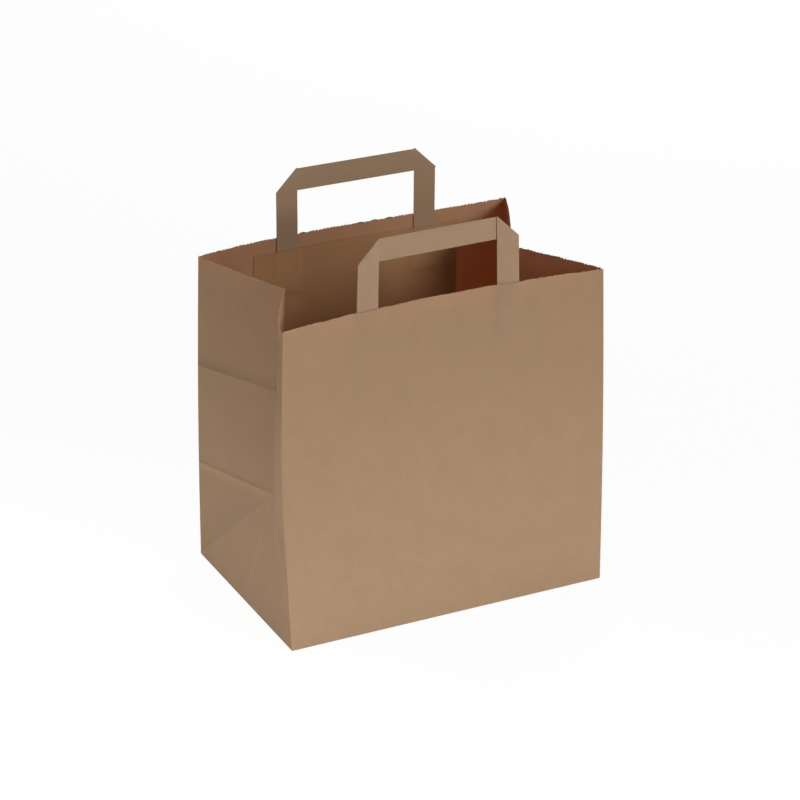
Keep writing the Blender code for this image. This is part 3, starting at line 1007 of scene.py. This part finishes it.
class FoldHandles(bpy.types.Operator):
    """Fold both handles: a pressed strip turned over at 45 degrees at its two upper corners."""

    bl_idname = "paper_bag.fold_handles"
    bl_label = "Fold Handles"

    def execute(self, context):
        tones = context.scene.paper_colours
        strengths = {"Clouds": 0.5, "Fibres": 0.55, "Ribs": 0.1, "Flecks": 0.5}
        paper = kraft_material("kraft_strip", tones.handle_pale, tones.handle_deep, strengths)
        fold = Fold(context.scene.bag_sizes, context.scene.handle_sizes)
        self.handle(context, fold, "front", paper, 0.0)
        self.handle(context, fold, "back", paper, 0.6)
        return {"FINISHED"}

    def handle(self, context, fold, panel, paper, start):
        """One handle, folded from a flat strip, laid against its wall and upright above the rim."""
        bag, size = context.scene.bag_sizes, context.scene.handle_sizes
        wall, inward = (fold.front, 1) if panel == "front" else (fold.back, -1)
        shift = fold.shift[panel]
        top = bag.height + size.rise
        shoulder, foot = top - size.strip, bag.height - size.tuck
        outer = size.span / 2
        inner = outer - size.strip
        leg_depth = size.glue + size.thickness / 2
        bend = (size.thickness + size.gap) / 2
        down, over, turns = evenly(0, 1, 34), evenly(0, 1, 40), evenly(0, 1, 8)[1:-1]
        rows = [("leg", share, 0) for share in down] + [("left", 0, turn) for turn in turns]
        rows += [("grip", share, 0) for share in over] + [("right", 0, turn) for turn in turns]
        rows += [("far", share, 0) for share in down]

        def flat(across, row):
            """The strip's drawing: x, depth from the wall and height."""
            part, share, turn = row
            side, corner = outer - across, shoulder + across
            if part == "leg":
                return -side, leg_depth, between(foot, corner, share)
            if part == "grip":
                return between(-side, side, share), leg_depth + 2 * bend, corner
            if part == "far":
                return side, leg_depth, between(corner, foot, share)
            swing = math.pi * (turn if part == "left" else 1 - turn)
            out = bend * math.sin(swing) / math.sqrt(2)
            depth = leg_depth + bend * (1 - math.cos(swing))
            return (side + out) * (-1 if part == "left" else 1), depth, corner + out

        def place(across, row):
            x, depth, height = flat(across, row)
            along = min(height, bag.height)
            if abs(x) < inner and height > bag.height:
                share = (x + inner) / (2 * inner)
                point = wall(shift - inner, along).lerp(wall(shift + inner, along), share)
            else:
                point = wall(shift + x, along)
            above = height - along
            slack = 0.125 * MM * (1 + wander(x, height, 34 * MM, 9.7 + inward))
            point.y += inward * (bag.paper + depth + slack * grows(above, 0, 12 * MM))
            point.z += above
            if panel == "front":
                end = x / outer * above / size.rise
                point.z -= size.tip * end
                point.y += size.twist * end
            return point

        begins = {"leg": 0.0, "left": 0.1, "grip": 0.1, "right": 0.23, "far": 0.23}
        runs = {"leg": 0.1, "grip": 0.131, "far": 0.1}

        def sheet(across, row):
            """The strip's place on its paper's map."""
            part, share, _ = row
            along = begins[part] + share * runs.get(part, 0.0)
            return 0.3 + across + start, 0.9 + start + along

        edge = [0, 0.4 * MM, 1.6 * MM]
        columns = edge + evenly(3.5 * MM, size.strip - 3.5 * MM, 4)
        columns += [size.strip - x for x in reversed(edge)]
        grid, _ = paper_grid(columns, rows, place, sheet)
        bmesh.ops.recalc_face_normals(grid, faces=grid.faces)
        name = "handle_" + panel
        piece = add_piece(name + "_strip", grid, paper, name)
        finish_piece(piece, size.thickness, 0, crease=40)


class PastePatches(bpy.types.Operator):
    """Paste a saw-cut sheet over the legs of each handle."""

    bl_idname = "paper_bag.paste_patches"
    bl_label = "Paste Patches"

    def execute(self, context):
        tones = context.scene.paper_colours
        strengths = {"Clouds": 0.6, "Fibres": 0.5, "Ribs": 0.1, "Flecks": 0.6}
        paper = kraft_material(
            "kraft_patch", tones.patch_pale, tones.patch_deep, strengths, tones.glow, 0.04
        )
        fold = Fold(context.scene.bag_sizes, context.scene.handle_sizes)
        self.patch(context, fold, "front", paper)
        self.patch(context, fold, "back", paper)
        return {"FINISHED"}

    def patch(self, context, fold, panel, paper):
        """One pasted sheet, which steps over the two legs."""
        bag, size = context.scene.bag_sizes, context.scene.handle_sizes
        wall, inward = (fold.front, 1) if panel == "front" else (fold.marked_back, -1)
        shift = fold.shift[panel]
        half = size.patch_width / 2
        top = bag.height - size.patch_drop
        rise = size.thickness + size.glue

        def over(x, height):
            """1 on a leg, falling to 0 beside it and below its end."""
            away = max(fold.from_leg(panel, x) - fold.leg_half, fold.leg_end - height)
            return 1 - grows(away, 0.5 * MM, 3 * MM)

        def place(x, height):
            slack = 0.06 * MM * (1 + wander(x, height, 22 * MM, 6.3 + inward))
            point = wall(x, height)
            point.y += inward * (1.5 * bag.paper + size.glue + rise * over(x, height) + slack)
            return point

        columns = evenly(shift - half, shift + half, 86)
        rows = evenly(top - size.patch_height, top, 35)
        grid, _ = paper_grid(
            columns, rows, place, lambda x, height: (1.9 + x, height + 0.6 * (inward + 1))
        )
        bmesh.ops.recalc_face_normals(grid, faces=grid.faces)

        def level(edge):
            return abs(edge.verts[0].co.x - edge.verts[1].co.x) > 0.2 * MM

        saw_cut(grid, level, PATCH_PITCH, size.patch_tooth, 11.3 + inward)
        name = "patch_" + panel
        piece = add_piece(name + "_sheet", grid, paper, name)
        finish_piece(piece, bag.paper, 0, crease=40)


def area_light(name, place, target, size, watts, cone=180):
    """A soft square light that looks at a point, with its beam held to a cone in degrees."""
    data = bpy.data.lights.new(name, "AREA")
    data.shape = "SQUARE"
    data.size = size
    data.energy = watts
    data.spread = math.radians(cone)
    lamp = put_in_scene(name, data)
    lamp.location = place
    lamp.visible_camera = False
    lamp.rotation_euler = (Vector(target) - Vector(place)).to_track_quat("-Z", "Y").to_euler()


class SetStudio(bpy.types.Operator):
    """Set the white floor, the soft lights and the camera."""

    bl_idname = "paper_bag.set_studio"
    bl_label = "Set Studio"

    def execute(self, context):
        studio = context.scene.studio_settings
        self.surround(context, studio.sky)
        self.floor()
        area_light("key_light", (0.95, -2.2, 1.13), (0, 0, 0.2), 0.9, studio.key)
        area_light("back_light", (1.4, 1.6, 0.7), (0, 0, 0.15), 1.4, studio.back)
        area_light("floor_light_front", (0, -0.62, 1.1), (0, -0.5, 0), 0.5, studio.pool_front, 50)
        area_light("floor_light_left", (-0.62, 0, 1.1), (-0.5, 0, 0), 0.5, studio.pool_left, 50)
        self.camera(context, studio)
        context.scene.view_settings.view_transform = "Standard"
        return {"FINISHED"}

    def surround(self, context, strength):
        """A white surround, plain white where the camera or a gloss looks at it."""
        world = bpy.data.worlds.new("studio")
        context.scene.world = world
        world.use_nodes = True
        tree = world.node_tree
        background = tree.nodes["Background"]
        background.inputs["Color"].default_value = (1, 1, 1, 1)
        path = add_node(tree, "ShaderNodeLightPath").outputs
        rays = [path[f"Is {kind} Ray"] for kind in ("Camera", "Glossy", "Transmission")]
        level = total(tree, strength, times(tree, largest(tree, *rays), 1 - strength))
        tree.links.new(level, background.inputs["Strength"])

    def floor(self):
        """A white floor that keeps the bag's soft shadow, and is clear from below."""
        white, washed = (0.86, 0.86, 0.86, 1), 0.94
        material, tree, shader = new_material("studio_floor")
        shader.inputs["Base Color"].default_value = white
        shader.inputs["Roughness"].default_value = 0.9
        shader.inputs["Specular IOR Level"].default_value = 0.0
        seen = add_node(tree, "ShaderNodeLightPath").outputs["Is Camera Ray"]
        glow = add_node(tree, "ShaderNodeEmission", {"Strength": 1.0}).outputs[0]
        bright = mixed(tree, times(tree, seen, washed), shader.outputs[0], glow)
        below = add_node(tree, "ShaderNodeNewGeometry").outputs["Backfacing"]
        clear = add_node(tree, "ShaderNodeBsdfTransparent").outputs[0]
        surface = tree.nodes["Material Output"].inputs["Surface"]
        tree.links.new(mixed(tree, below, bright, clear), surface)
        grid = bmesh.new()
        bmesh.ops.create_grid(grid, x_segments=1, y_segments=1, size=8)
        bmesh.ops.translate(grid, verts=grid.verts, vec=(0, 0, -0.1 * MM))
        sheet_object("studio_floor", grid, material)

    def camera(self, context, studio):
        """The camera, which looks down on the bag's front left corner."""
        data = bpy.data.cameras.new("camera")
        data.lens = studio.lens
        data.sensor_width = 36
        data.clip_end = 50
        camera = put_in_scene("camera", data)
        tilted = Euler((math.pi / 2 - studio.elevation, 0, studio.azimuth)).to_matrix()
        turn = tilted @ Matrix.Rotation(studio.roll, 3, "Z")
        camera.matrix_world = Matrix.Translation(studio.place) @ turn.to_4x4()
        context.scene.camera = camera


class BagPanel(bpy.types.Panel):
    """The bag's steps and sizes."""

    bl_label = "Paper Bag"
    bl_idname = "VIEW3D_PT_paper_bag"
    bl_space_type = "VIEW_3D"
    bl_region_type = "UI"
    bl_category = "Paper Bag"

    def draw(self, context):
        layout = self.layout
        for step in STEPS:
            layout.operator(step.bl_idname)
        for group in SETTINGS:
            settings = getattr(context.scene, group)
            box = layout.box()
            box.label(text=group.replace("_", " ").capitalize())
            for name in settings.__annotations__:
                box.prop(settings, name)


SETTINGS = {
    "bag_sizes": BagSizes,
    "handle_sizes": HandleSizes,
    "paper_colours": PaperColours,
    "studio_settings": StudioSettings,
}
STEPS = (FoldWalls, PasteBottom, FoldHandles, PastePatches, SetStudio)


def register():
    """Adds the bag's settings, steps and panel."""
    for group in (*SETTINGS.values(), *STEPS, BagPanel):
        bpy.utils.register_class(group)
    for name, group in SETTINGS.items():
        setattr(bpy.types.Scene, name, PointerProperty(type=group))


def unregister():
    """Takes the bag's settings, steps and panel away."""
    for name in SETTINGS:
        delattr(bpy.types.Scene, name)
    for group in reversed((*SETTINGS.values(), *STEPS, BagPanel)):
        bpy.utils.unregister_class(group)


def main():
    """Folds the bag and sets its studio."""
    register()
    bpy.ops.paper_bag.fold_walls()
    bpy.ops.paper_bag.paste_bottom()
    bpy.ops.paper_bag.fold_handles()
    bpy.ops.paper_bag.paste_patches()
    bpy.ops.paper_bag.set_studio()


if __name__ == "__main__":
    main()
